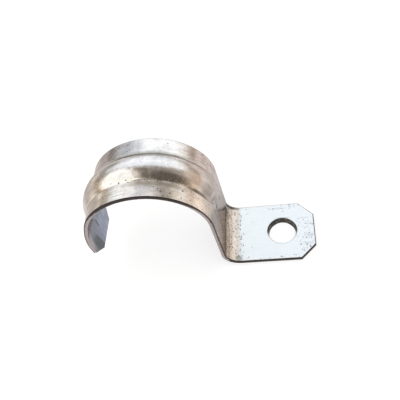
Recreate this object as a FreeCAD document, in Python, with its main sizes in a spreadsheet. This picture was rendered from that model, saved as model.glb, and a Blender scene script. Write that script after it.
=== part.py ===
"""Single-lobe conduit strap, pressed from one strip of galvanised steel.

Frame: millimetres, +Z up.  The origin is where the screw hole's axis meets the underside of the
tab, which is the face that lies on the wall.  +X runs from the arch to the end of the tab, and +Y
runs across the strip.  The strip is symmetric about the XZ plane.

The side profile is walked from the end of the tab: the flat tab, a tight bend, the riser, the
crown, the shoulder, a short flank and the free leg, all tangent.  The outer face and the inner
face are the same walk, one sheet thickness apart.  A rib is pressed outward along the arch, so
that its crest is matched by a groove inside, and it runs out on the riser and on the leg.
"""

import FreeCAD, Part

import math
import os

import Sketcher

from enum import IntEnum

from FreeCAD import Vector

NODE = "conduit_strap"
SHEET = "dimensions"

# Driving dimensions: millimetres and degrees.
DIMENSIONS = {
    # the strip
    "strap_width": 14.0,
    "sheet_thickness": 0.8,
    "corner_cut": 3.2,
    # the tab and its punched screw hole
    "tab_length": 16.0,
    "hole_diameter": 5.9,
    "hole_to_end": 7.0,
    "hole_rollover": 0.35,
    # the side profile, whose curves are worked out from the conduit that it holds
    "conduit_diameter": 25.0,
    "tab_bend_radius": 3.1,
    "riser_lean": 1.6,
    "spring_rise": 3.2,
    "crown_tuck": 1.2,
    "crown_angle": 87.2,
    "shoulder_ease": 1.5,
    "shoulder_angle": 71.9,
    "flank_length": 1.3,
    "leg_ease": 3.8,
    "leg_angle": 36.8,
    # the rib pressed outward along the arch
    "rib_height": 1.25,
    "rib_crest_radius": 4.5,
    "rib_root_radius": 0.95,
    "rib_start_angle": 33.0,
    "riser_runout_radius": 10.4,
    "leg_runout_radius": 11.5,
    "runout_turn": 65.0,
}

CONTACT = 1.0e-4


class Grip(IntEnum):
    """Where a sketch constraint takes hold of a line or an arc."""

    START = 1
    END = 2
    CENTRE = 3


class Given(IntEnum):
    """The geometry numbers of what a sketch has before anything is drawn in it."""

    ORIGIN = -1
    HORIZONTAL_AXIS = -1
    BORROWED_CROWN = -3
    BORROWED_SHOULDER = -4


class Side(IntEnum):
    """The side that a curve turns to, seen along the walk."""

    LEFT = 1
    RIGHT = -1


def build_sheet(doc):
    """Write the driving dimensions into a spreadsheet, one aliased cell each."""
    sheet = doc.addObject("Spreadsheet::Sheet", SHEET)
    for row, (name, value) in enumerate(DIMENSIONS.items(), start=1):
        sheet.set(f"A{row}", name)
        sheet.set(f"B{row}", str(value))
        sheet.setAlias(f"B{row}", name)
    doc.recompute()
    return sheet


def linked(formula):
    """Turn a formula in plain dimension names into one that reads the spreadsheet."""
    words = formula.replace("(", " ( ").replace(")", " ) ").split()
    return " ".join(f"{SHEET}.{word}" if word in DIMENSIONS else word for word in words)


def add_sketch(body, role, name):
    """Add a sketch on one of the body's own origin planes."""
    sketch = body.newObject("Sketcher::SketchObject", name)
    plane = next(item for item in body.Origin.OriginFeatures if item.Role == role)
    sketch.AttachmentSupport = [(plane, "")]
    sketch.MapMode = "FlatFace"
    return sketch


class Walk:
    """A run of lines and tangent arcs in a sketch, each one tied to the spreadsheet.

    The walk keeps its heading and its position, so that every piece starts where it belongs and
    the sketch's solver has nothing left to move.
    """

    def __init__(self, sketch, position, heading):
        """Start a walk at a point of the sketch, heading at an angle in degrees."""
        self.sketch = sketch
        self.position = position
        self.heading = heading
        self.last = None

    def number(self, formula):
        """Give a formula's present value."""
        return float(self.sketch.evalExpression(linked(formula)))

    def hold(self, label, formula, kind, *where):
        """Add a dimension constraint that follows a formula."""
        value = self.number(formula)
        if kind == "Angle":
            value = math.radians(value)
        index = self.sketch.addConstraint(Sketcher.Constraint(kind, *where, value))
        self.sketch.renameConstraint(index, label)
        self.sketch.setExpression(f"Constraints.{label}", linked(formula))

    def tie(self, kind, *where):
        """Add a constraint that has no size."""
        self.sketch.addConstraint(Sketcher.Constraint(kind, *where))

    def direction(self, turned=0.0):
        """Give the unit vector of the heading, turned by an angle in degrees."""
        angle = math.radians(self.heading + turned)
        return Vector(math.cos(angle), math.sin(angle), 0)

    def follow(self, geometry, entry, leave, joint="Tangent"):
        """Tie a new piece's entry to the end of the last piece, and remember its own end."""
        if self.last is not None:
            self.tie(joint, *self.last, geometry, entry)
        self.last = (geometry, leave)
        return geometry

    def line(self, label, formula, turned=0.0, joint="Tangent"):
        """Walk straight on, or turn on the spot first, for a length that follows a formula."""
        step = self.direction(turned) * self.number(formula)
        self.heading += turned
        finish = self.position + step
        geometry = self.sketch.addGeometry(Part.LineSegment(self.position, finish), False)
        self.position = finish
        self.follow(geometry, Grip.START, Grip.END, joint)
        self.hold(label, formula, "Distance", geometry)
        return geometry

    def arc(self, label, radius, turn, side=Side.LEFT, hold_radius=True):
        """Walk round a tangent arc whose radius and turn follow formulas."""
        size = self.number(radius)
        sweep = self.number(turn)
        inward = Vector(0, 0, 1).cross(self.direction()) * side
        centre = self.position + inward * size
        begin = math.atan2(-inward.y, -inward.x)
        finish = begin + math.radians(sweep) * side
        low, high = (begin, finish) if side == Side.LEFT else (finish, begin)
        circle = Part.Circle(centre, Vector(0, 0, 1), size)
        geometry = self.sketch.addGeometry(Part.ArcOfCircle(circle, low, high), False)
        self.position = centre + Vector(math.cos(finish), math.sin(finish), 0) * size
        self.heading += sweep * side
        entry, leave = (Grip.START, Grip.END) if side == Side.LEFT else (Grip.END, Grip.START)
        self.follow(geometry, entry, leave)
        if hold_radius:
            self.hold(f"{label}_radius", radius, "Radius", geometry)
        self.hold(f"{label}_turn", turn, "Angle", geometry)
        return geometry


def walk_arch(walk, outer, inner):
    """Walk the bend, riser, crown, shoulder, flank and leg of one face of the sheet.

    What the outer face adds to the radius of a left-hand curve is in outer, and what the inner
    face adds to that of the tab's bend, which curves the other way, is in inner.
    """
    walk.arc("tab_bend", f"tab_bend_radius{inner}", "90 - riser_lean", side=Side.RIGHT)
    rise = "conduit_diameter / 2 + spring_rise - tab_bend_radius - sheet_thickness"
    walk.line("riser", rise)
    crown = walk.arc("crown", f"conduit_diameter / 2 - crown_tuck{outer}", "crown_angle")
    shoulder = walk.arc("shoulder", f"conduit_diameter / 2 + shoulder_ease{outer}", "shoulder_angle")
    walk.line("flank", "flank_length")
    walk.arc("leg", f"conduit_diameter / 2 + leg_ease{outer}", "leg_angle")
    return crown, shoulder


def sketch_outer_face(body):
    """Draw the strap's outer face, closed inside the arch and along the wall."""
    sketch = add_sketch(body, "XZ_Plane", "outer_face")
    walk = Walk(sketch, Vector(), 180)
    walk.position = Vector(walk.number("hole_to_end"), walk.number("sheet_thickness"), 0)
    corner = walk.position
    tab = walk.line("tab", "tab_length")
    walk.tie("Horizontal", tab)
    walk.hold("tab_end", "hole_to_end", "DistanceX", Given.ORIGIN, Grip.START, tab, Grip.START)
    walk.hold("tab_top", "sheet_thickness", "DistanceY", Given.ORIGIN, Grip.START, tab, Grip.START)
    crown, shoulder = walk_arch(walk, " + sheet_thickness", "")
    walk.line("tip_cut", "3 * sheet_thickness", turned=90, joint="Perpendicular")
    foot = Vector(walk.position.x, 0, 0)
    wall_corner = Vector(corner.x, 0, 0)
    drop = sketch.addGeometry(Part.LineSegment(walk.position, foot), False)
    wall = sketch.addGeometry(Part.LineSegment(foot, wall_corner), False)
    end = sketch.addGeometry(Part.LineSegment(wall_corner, corner), False)
    walk.follow(drop, Grip.START, Grip.END, "Coincident")
    walk.follow(wall, Grip.START, Grip.END, "Coincident")
    walk.follow(end, Grip.START, Grip.END, "Coincident")
    walk.tie("Coincident", end, Grip.END, tab, Grip.START)
    walk.tie("Vertical", drop)
    walk.tie("Vertical", end)
    walk.tie("PointOnObject", drop, Grip.END, Given.HORIZONTAL_AXIS)
    walk.tie("Horizontal", wall)
    return sketch, crown, shoulder


def sketch_inner_face(body):
    """Draw the strap's inner face, closed straight down from the tip and below the wall."""
    sketch = add_sketch(body, "XZ_Plane", "inner_face")
    walk = Walk(sketch, Vector(), 180)
    walk.position = Vector(walk.number("hole_to_end - tab_length"), 0, 0)
    start = walk.position
    walk_arch(walk, "", " + sheet_thickness")
    bend = 0
    walk.hold("bend_start", "tab_length - hole_to_end", "DistanceX", bend, Grip.END, Given.ORIGIN, Grip.START)
    walk.tie("PointOnObject", bend, Grip.END, Given.HORIZONTAL_AXIS)
    floor = -walk.number("conduit_diameter / 2")
    below_tip = Vector(walk.position.x, floor, 0)
    below_bend = Vector(start.x, floor, 0)
    drop = sketch.addGeometry(Part.LineSegment(walk.position, below_tip), False)
    bottom = sketch.addGeometry(Part.LineSegment(below_tip, below_bend), False)
    rise = sketch.addGeometry(Part.LineSegment(below_bend, start), False)
    walk.follow(drop, Grip.START, Grip.END, "Coincident")
    walk.follow(bottom, Grip.START, Grip.END, "Coincident")
    walk.follow(rise, Grip.START, Grip.END, "Coincident")
    walk.tie("Coincident", rise, Grip.END, bend, Grip.END)
    walk.tie("Vertical", drop)
    walk.tie("Horizontal", bottom)
    walk.tie("Vertical", rise)
    walk.hold("depth", "conduit_diameter / 2", "DistanceY", bottom, Grip.START, Given.ORIGIN, Grip.START)
    # The tab's bend leaves the wall level, so its centre is straight above its first point.
    walk.tie("Vertical", bend, Grip.END, bend, Grip.CENTRE)
    return sketch


def sketch_rib_path(body, outer_face, crown, shoulder):
    """Draw the centre line of the rib's round crest.

    It keeps to the crown and the shoulder, and turns in tighter than the sheet at both ends, so
    that the rib sinks into the riser and into the leg.
    """
    sketch = add_sketch(body, "XZ_Plane", "rib_path")
    for edge in (crown, shoulder):
        sketch.addExternal(outer_face.Name, f"Edge{edge + 1}")
    crown_arc = outer_face.Geometry[crown]
    walk = Walk(sketch, Vector(), 0)
    lift = " + sheet_thickness + rib_height - rib_crest_radius"
    crown_radius = f"conduit_diameter / 2 - crown_tuck{lift}"
    start_angle = math.degrees(crown_arc.FirstParameter) + walk.number("rib_start_angle")
    runout_radius = walk.number("riser_runout_radius - rib_crest_radius")
    runout_angle = math.radians(start_angle - walk.number("runout_turn"))
    spoke = Vector(math.cos(math.radians(start_angle)), math.sin(math.radians(start_angle)), 0)
    runout_centre = crown_arc.Center + spoke * (walk.number(crown_radius) - runout_radius)
    first = Vector(math.cos(runout_angle), math.sin(runout_angle), 0) * runout_radius
    walk.position = runout_centre + first
    walk.heading = math.degrees(runout_angle) + 90
    walk.arc("riser_runout", "riser_runout_radius - rib_crest_radius", "runout_turn")
    over_crown = walk.arc("crown", crown_radius, "crown_angle - rib_start_angle")
    shoulder_radius = f"conduit_diameter / 2 + shoulder_ease{lift}"
    over_shoulder = walk.arc("shoulder", shoulder_radius, "shoulder_angle", hold_radius=False)
    walk.arc("leg_runout", "leg_runout_radius - rib_crest_radius", "runout_turn")
    walk.tie("Coincident", over_crown, Grip.CENTRE, Given.BORROWED_CROWN, Grip.CENTRE)
    walk.tie("Coincident", over_shoulder, Grip.CENTRE, Given.BORROWED_SHOULDER, Grip.CENTRE)
    return sketch


def sketch_rib_section(body, path, name, radius):
    """Draw a circle square to the start of the rib's path."""
    sketch = body.newObject("Sketcher::SketchObject", name)
    sketch.AttachmentSupport = [(path, "Edge1"), (path, "Vertex1")]
    sketch.MapMode = "NormalToEdge"
    size = float(sketch.evalExpression(linked(radius)))
    circle = sketch.addGeometry(Part.Circle(Vector(), Vector(0, 0, 1), size), False)
    sketch.addConstraint(Sketcher.Constraint("Coincident", circle, Grip.CENTRE, Given.ORIGIN, Grip.START))
    index = sketch.addConstraint(Sketcher.Constraint("Radius", circle, size))
    sketch.renameConstraint(index, "section_radius")
    sketch.setExpression("Constraints.section_radius", linked(radius))
    return sketch


def add_pipe(body, kind, name, section, path):
    """Sweep a section along a path, adding metal or taking it away."""
    pipe = body.newObject(f"PartDesign::{kind}", name)
    pipe.Profile = section
    pipe.Spine = (path, [])
    pipe.Mode = "Frenet"
    return pipe


def add_pad(body, name, sketch):
    """Extrude a closed side profile to the strap's width, half to each side."""
    pad = body.newObject("PartDesign::Pad", name)
    pad.Profile = sketch
    pad.SideType = "Symmetric"
    pad.setExpression("Length", linked("strap_width"))
    return pad


def add_void(body, name, sketch):
    """Cut everything inside a closed side profile, right across the strap."""
    pocket = body.newObject("PartDesign::Pocket", name)
    pocket.Profile = sketch
    pocket.SideType = "Symmetric"
    pocket.setExpression("Length", linked("strap_width * 2"))
    return pocket


def crease_edges(shape, face_outline):
    """Find the edges where the rib meets one face of the sheet.

    A crease lies between a face of the round rib and a flat or a cylinder of the sheet, and
    seen from the side it lies on that face's outline.
    """
    found = []
    for number, edge in enumerate(shape.Edges, start=1):
        faces = shape.ancestorsOfType(edge, Part.Face)
        round_faces = [face for face in faces if isinstance(face.Surface, Part.Toroid)]
        middle = edge.valueAt((edge.FirstParameter + edge.LastParameter) / 2)
        beside = Part.Vertex(middle.x, 0, middle.z)
        gap = beside.distToShape(face_outline)[0]
        if len(round_faces) == 1 and gap < CONTACT:
            found.append(f"Edge{number}")
    return found


def add_fillet(body, name, base, edges, radius):
    """Round the named edges of a feature."""
    fillet = body.newObject("PartDesign::Fillet", name)
    fillet.Base = (base, edges)
    fillet.setExpression("Radius", linked(radius))
    return fillet


def corner_edges(shape, width, thickness):
    """Find the four short edges, one sheet thick, at the corners of the strip's two ends."""
    found = []
    for number, edge in enumerate(shape.Edges, start=1):
        on_side = all(abs(abs(point.Y) - width / 2) < CONTACT for point in edge.Vertexes)
        if on_side and abs(edge.Length - thickness) < CONTACT:
            found.append(f"Edge{number}")
    return found


def add_corner_cuts(body, base, width, thickness):
    """Clip the corners of the tab and of the free leg at 45 degrees."""
    cuts = body.newObject("PartDesign::Chamfer", "corner_cuts")
    cuts.Base = (base, corner_edges(base.Shape, width, thickness))
    cuts.setExpression("Size", linked("corner_cut"))
    return cuts


def add_screw_hole(body):
    """Punch the screw hole through the tab at the origin."""
    sketch = add_sketch(body, "XY_Plane", "screw_hole_circle")
    radius = float(sketch.evalExpression(linked("hole_diameter / 2")))
    circle = sketch.addGeometry(Part.Circle(Vector(), Vector(0, 0, 1), radius), False)
    sketch.addConstraint(Sketcher.Constraint("Coincident", circle, Grip.CENTRE, Given.ORIGIN, Grip.START))
    index = sketch.addConstraint(Sketcher.Constraint("Diameter", circle, radius * 2))
    sketch.renameConstraint(index, "hole_diameter")
    sketch.setExpression("Constraints.hole_diameter", linked("hole_diameter"))
    hole = body.newObject("PartDesign::Pocket", "screw_hole")
    hole.Profile = sketch
    hole.SideType = "Symmetric"
    hole.setExpression("Length", linked("sheet_thickness * 4"))
    return hole


def hole_rim(shape, radius, height):
    """Find the screw hole's rim on the tab's top face."""
    found = []
    for number, edge in enumerate(shape.Edges, start=1):
        circle = isinstance(edge.Curve, Part.Circle) and abs(edge.Curve.Radius - radius) < CONTACT
        if circle and abs(edge.Curve.Center.z - height) < CONTACT:
            found.append(f"Edge{number}")
    return found


def build_strap(doc, sheet):
    """Build the strap as one body, feature by feature."""
    body = doc.addObject("PartDesign::Body", NODE)
    body.Label = NODE
    body.Placement = FreeCAD.Placement()
    outer_face, crown, shoulder = sketch_outer_face(body)
    inner_face = sketch_inner_face(body)
    doc.recompute()
    rib_path = sketch_rib_path(body, outer_face, crown, shoulder)
    doc.recompute()
    rib_section = sketch_rib_section(body, rib_path, "rib_section", "rib_crest_radius")
    groove_radius = "rib_crest_radius - sheet_thickness"
    groove_section = sketch_rib_section(body, rib_path, "groove_section", groove_radius)

    add_pad(body, "filled_arch", outer_face)
    add_pipe(body, "AdditivePipe", "rib", rib_section, rib_path)
    add_void(body, "arch_void", inner_face)
    groove = add_pipe(body, "SubtractivePipe", "groove", groove_section, rib_path)
    doc.recompute()

    outer_creases = crease_edges(groove.Shape, outer_face.Shape)
    rib_roots = add_fillet(body, "rib_roots", groove, outer_creases, "rib_root_radius")
    doc.recompute()
    inner_creases = crease_edges(rib_roots.Shape, inner_face.Shape)
    groove_lip_radius = "rib_root_radius + sheet_thickness"
    groove_lips = add_fillet(body, "groove_lips", rib_roots, inner_creases, groove_lip_radius)
    doc.recompute()

    add_corner_cuts(body, groove_lips, sheet.strap_width, sheet.sheet_thickness)
    doc.recompute()
    hole = add_screw_hole(body)
    doc.recompute()
    rim = hole_rim(hole.Shape, sheet.hole_diameter / 2, sheet.sheet_thickness)
    add_fillet(body, "hole_rollover", hole, rim, "hole_rollover")
    doc.recompute()
    return body


def check_model(doc, body):
    """Stop if any object failed, or if the strap isn't one valid solid."""
    for item in doc.Objects:
        if "Invalid" in item.State or "Error" in item.State:
            raise RuntimeError(f"{item.Label} failed: {item.State}")
    shape = body.Shape
    if shape.isNull() or not shape.isValid() or len(shape.Solids) != 1:
        raise RuntimeError(f"{body.Label} is not one valid solid")


def check_cuts(body):
    """Stop if a feature that takes metal away left the volume as it was."""
    features = [item for item in body.Group if item.isDerivedFrom("PartDesign::Feature")]
    for before, after in zip(features, features[1:]):
        if abs(before.Shape.Volume - after.Shape.Volume) < CONTACT:
            raise RuntimeError(f"{after.Label} changed nothing")


def main():
    """Build, check and write the strap."""
    os.makedirs("parts", exist_ok=True)
    doc = FreeCAD.newDocument("conduit_strap_model")
    sheet = build_sheet(doc)
    body = build_strap(doc, sheet)
    check_model(doc, body)
    check_cuts(body)
    body.Shape.exportStep(f"parts/{body.Label}.step")
    box = body.Shape.BoundBox
    size = f"{box.XLength:.2f} x {box.YLength:.2f} x {box.ZLength:.2f} mm"
    print(f"{body.Label}: {size}, {body.Shape.Volume:.1f} cubic mm")


main()
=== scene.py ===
"""A conduit strap pressed from one strip of zinc-coated steel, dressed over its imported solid.

Lengths are metres and angles degrees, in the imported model's own frame.  The origin is where the
screw hole's axis meets the tab's underside, +X runs to the end of the tab, +Y runs across the
strip and +Z points away from the wall.  The strip is drawn as a flat blank, with one coordinate
along it and one across it, and is then laid over the side profile with its pressed rib.
"""

import logging
import math
from dataclasses import dataclass, field
from enum import Enum, IntEnum
from typing import Dict, List, Mapping, Sequence, Tuple, Union

import bmesh
import bpy
import numpy as np
from mathutils import Matrix, Vector


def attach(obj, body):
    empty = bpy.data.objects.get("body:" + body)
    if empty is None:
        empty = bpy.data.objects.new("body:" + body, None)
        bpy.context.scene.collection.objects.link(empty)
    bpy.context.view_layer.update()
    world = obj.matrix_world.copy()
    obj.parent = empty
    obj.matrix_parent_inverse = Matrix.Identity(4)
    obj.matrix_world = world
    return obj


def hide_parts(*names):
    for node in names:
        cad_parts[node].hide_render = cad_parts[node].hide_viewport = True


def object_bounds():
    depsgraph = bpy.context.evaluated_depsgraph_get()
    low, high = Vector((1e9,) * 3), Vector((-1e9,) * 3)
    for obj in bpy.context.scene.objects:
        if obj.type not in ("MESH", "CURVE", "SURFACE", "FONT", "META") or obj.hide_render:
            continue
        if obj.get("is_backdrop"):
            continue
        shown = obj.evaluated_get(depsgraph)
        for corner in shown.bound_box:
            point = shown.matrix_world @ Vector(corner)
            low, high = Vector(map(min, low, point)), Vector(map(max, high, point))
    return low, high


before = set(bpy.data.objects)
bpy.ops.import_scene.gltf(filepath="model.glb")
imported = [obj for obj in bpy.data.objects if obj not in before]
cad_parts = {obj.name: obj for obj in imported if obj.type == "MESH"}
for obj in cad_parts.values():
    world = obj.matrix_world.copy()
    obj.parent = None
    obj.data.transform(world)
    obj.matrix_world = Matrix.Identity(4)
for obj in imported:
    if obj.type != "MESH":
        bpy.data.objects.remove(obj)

LOG = logging.getLogger("conduit_strap")
MM = 0.001
MAP_SPAN = 0.2

Colour = Tuple[float, float, float]
Span = Tuple[float, float]
Noise = Tuple[float, float, float]
Socket = bpy.types.NodeSocket

WHITE: Colour = (1.0, 1.0, 1.0)
FALL: Span = (1.0, 0.0)
SWING: Span = (-1.0, 1.0)


class Island(Enum):
    """Where each surface lies across the strip's map: a face's middle, or the cut's upper rim."""

    OUTER = 0.10
    INNER = 0.30
    CUT = 0.50


class Finish(IntEnum):
    """The strap's materials, in the order of their slots."""

    COAT = 0
    SHEARED = 1


# The inner face lies INNER_SIDE millimetres across the map from the outer one, and the screw
# hole's wall starts HOLE_ROW below the rim on the map of the cut edge.
INNER_SIDE = (Island.INNER.value - Island.OUTER.value) * MAP_SPAN / MM
HOLE_ROW = 2.0 * MM


# ------------------------------------------------------------------------------------------
# The shape of the strip
# ------------------------------------------------------------------------------------------


@dataclass(frozen=True)
class Run:
    """One stretch of the side profile: its length, and how far it turns, left being positive."""

    length: float
    turn: float = 0.0

    @staticmethod
    def arc(radius: float, degrees: float) -> "Run":
        """Give the run of an arc.

        Args:
            radius: Radius of the outer face.
            degrees: Angle turned, positive to the left.

        Returns:
            The run, whose length is the radius times the angle.
        """
        turn = math.radians(degrees)
        return Run(radius * abs(turn), turn)


class Stretch(IntEnum):
    """The runs of the side profile, in order from the end of the tab."""

    TAB = 0
    BEND = 1
    RISER = 2
    CROWN = 3
    SHOULDER = 4
    FLANK = 5
    LEG = 6


@dataclass
class SideProfile:
    """The outer face of the strap seen from the side, walked from the end of the tab.

    Every arc is tangent to its neighbours.  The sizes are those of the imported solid.
    """

    thickness: float = 0.8 * MM
    hole_to_end: float = 7.0 * MM
    tab_length: float = 16.0 * MM
    bend_radius: float = 3.1 * MM
    bend_angle: float = 88.4
    riser_length: float = 11.8 * MM
    crown_radius: float = 12.1 * MM
    crown_angle: float = 87.2
    shoulder_radius: float = 14.8 * MM
    shoulder_angle: float = 71.9
    flank_length: float = 1.3 * MM
    leg_radius: float = 17.1 * MM
    leg_angle: float = 36.8
    runs: List[Run] = field(init=False)
    begins: np.ndarray = field(init=False)
    points: np.ndarray = field(init=False)
    headings: np.ndarray = field(init=False)

    def __post_init__(self) -> None:
        """Walk the runs once, keeping where each begins and which way it heads."""
        self.runs = [
            Run(self.tab_length),
            Run.arc(self.bend_radius, -self.bend_angle),
            Run(self.riser_length),
            Run.arc(self.crown_radius, self.crown_angle),
            Run.arc(self.shoulder_radius, self.shoulder_angle),
            Run(self.flank_length),
            Run.arc(self.leg_radius, self.leg_angle),
        ]
        lengths = np.array([run.length for run in self.runs])
        turns = np.array([run.turn for run in self.runs])
        self.begins = np.concatenate([[0.0], np.cumsum(lengths)])
        self.headings = math.pi + np.concatenate([[0.0], np.cumsum(turns)])
        middle = self.headings[:-1] + turns / 2
        chord = lengths * np.sinc(turns / 2 / math.pi)
        steps = np.stack([np.cos(middle), np.sin(middle)], axis=1) * chord[:, None]
        start = np.array([[self.hole_to_end, self.thickness]])
        self.points = start + np.concatenate([np.zeros((1, 2)), np.cumsum(steps, axis=0)])

    @property
    def length(self) -> float:
        """Length of the strip's outer face."""
        return float(self.begins[-1])

    def bend_of(self, run: int) -> float:
        """Give how fast a run turns, in radians a metre.

        Args:
            run: Number of the run, from the tab.

        Returns:
            The turn divided by the length, positive to the left.
        """
        return self.runs[run].turn / self.runs[run].length

    def walk(self, along: np.ndarray) -> Tuple[np.ndarray, np.ndarray, np.ndarray]:
        """Find the outer face at distances from the end of the tab.

        A run of length d that turns by a has a chord d sin(a/2) / (a/2), which points halfway
        between its two headings.  A straight run is the same formula with no turn.

        Args:
            along: Distances along the strip.

        Returns:
            Points (x, z), unit outward normals (x, z), and the turn in radians a metre.
        """
        run = np.clip(np.searchsorted(self.begins, along, side="right") - 1, 0, len(self.runs) - 1)
        rate = np.array([self.bend_of(index) for index in range(len(self.runs))])[run]
        past = along - self.begins[run]
        turned = rate * past
        heading = self.headings[run] + turned / 2
        chord = past * np.sinc(turned / 2 / math.pi)
        step = np.stack([np.cos(heading), np.sin(heading)], axis=-1) * chord[..., None]
        final = self.headings[run] + turned
        outward = np.stack([np.sin(final), -np.cos(final)], axis=-1)
        return self.points[run] + step, outward, rate

    def centre_of(self, run: int) -> np.ndarray:
        """Give the centre of a left-hand arc, in (x, z).

        Args:
            run: Number of the run, from the tab.

        Returns:
            The point one radius to the left of the run's start.
        """
        heading = self.headings[run]
        left = np.array([-math.sin(heading), math.cos(heading)])
        return self.points[run] + left / self.bend_of(run)


@dataclass
class PressedRib:
    """The rib pressed outward along the arch, which sinks into the riser and into the leg.

    The full crest starts at an angle round the crown.  The landing is the height from which
    the crest eases into the flat sheet.
    """

    profile: SideProfile
    height: float = 1.25 * MM
    crest_radius: float = 4.5 * MM
    root_radius: float = 0.95 * MM
    start_angle: float = 33.0
    riser_runout: float = 10.4 * MM
    leg_runout: float = 11.5 * MM
    landing: float = 0.2 * MM

    def sinking(self, along: np.ndarray, run: int, angle: float, radius: float) -> np.ndarray:
        """Give the crest's height where it turns in tighter than the sheet.

        The crest follows a circle inside the sheet's own curve, tangent to the full crest.  Its
        height is how far the outward normal runs from the sheet's outer face to that circle.

        Args:
            along: Distances along the strip.
            run: The arc on which the full crest ends.
            angle: Where on that arc the circle begins, from the arc's start.
            radius: Radius of the crest's circle.

        Returns:
            Height over the sheet, below zero where the circle is under it.
        """
        point, outward, _ = self.profile.walk(along)
        base = math.radians(angle) + self.profile.headings[run] - math.pi / 2
        spoke = np.array([math.cos(base), math.sin(base)])
        reach = 1 / self.profile.bend_of(run) + self.height - radius
        away = point - self.profile.centre_of(run) - spoke * reach
        lean = (away * outward).sum(axis=-1)
        inside = lean**2 - (away**2).sum(axis=-1) + radius**2
        return -lean + np.sqrt(np.maximum(inside, 0))

    def crest(self, along: np.ndarray) -> np.ndarray:
        """Give the crest's height along the strip.

        Args:
            along: Distances along the strip.

        Returns:
            The full height over crown and shoulder, the sinking circles beyond them, and zero
            elsewhere.  Near zero the height h lands as (h + w) squared over 4 w, which is the
            soft foot of the pressing tool.
        """
        shape = self.profile
        full_from = shape.begins[Stretch.CROWN] + math.radians(self.start_angle) * shape.crown_radius
        full_to = shape.begins[Stretch.FLANK]
        risen = self.sinking(along, Stretch.CROWN, self.start_angle, self.riser_runout)
        turned = shape.shoulder_angle
        fallen = self.sinking(along, Stretch.SHOULDER, turned, self.leg_runout)
        height = np.where(along < full_from, risen, np.where(along > full_to, fallen, self.height))
        height = np.where(along < shape.begins[Stretch.RISER], -self.landing, height)
        height = np.clip(height, -self.landing, self.height)
        soft = (height + self.landing) ** 2 / (4 * self.landing)
        return np.where(height < self.landing, soft, height)

    def lift(self, along: np.ndarray, across: np.ndarray) -> np.ndarray:
        """Give how far the rib stands out of the strip.

        The section is the crest's circle, met on each side by a root of the opposite curve
        that is tangent to it and to the flat of the strip.

        Args:
            along: Distances along the strip.
            across: Distances from the middle of the strip.

        Returns:
            Height of the section at each place.
        """
        crest = self.crest(along)
        sunk = self.crest_radius - crest
        both = self.crest_radius + self.root_radius
        half = np.sqrt(np.maximum(both**2 - (sunk + self.root_radius) ** 2, 0))
        change = half * self.crest_radius / both
        side = np.abs(across)
        top = np.sqrt(np.maximum(self.crest_radius**2 - side**2, 0)) - sunk
        dip = self.root_radius**2 - np.maximum(half - side, 0) ** 2
        foot = self.root_radius - np.sqrt(np.maximum(dip, 0))
        return np.where(side <= change, top, np.where(side < half, foot, 0.0))


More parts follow.
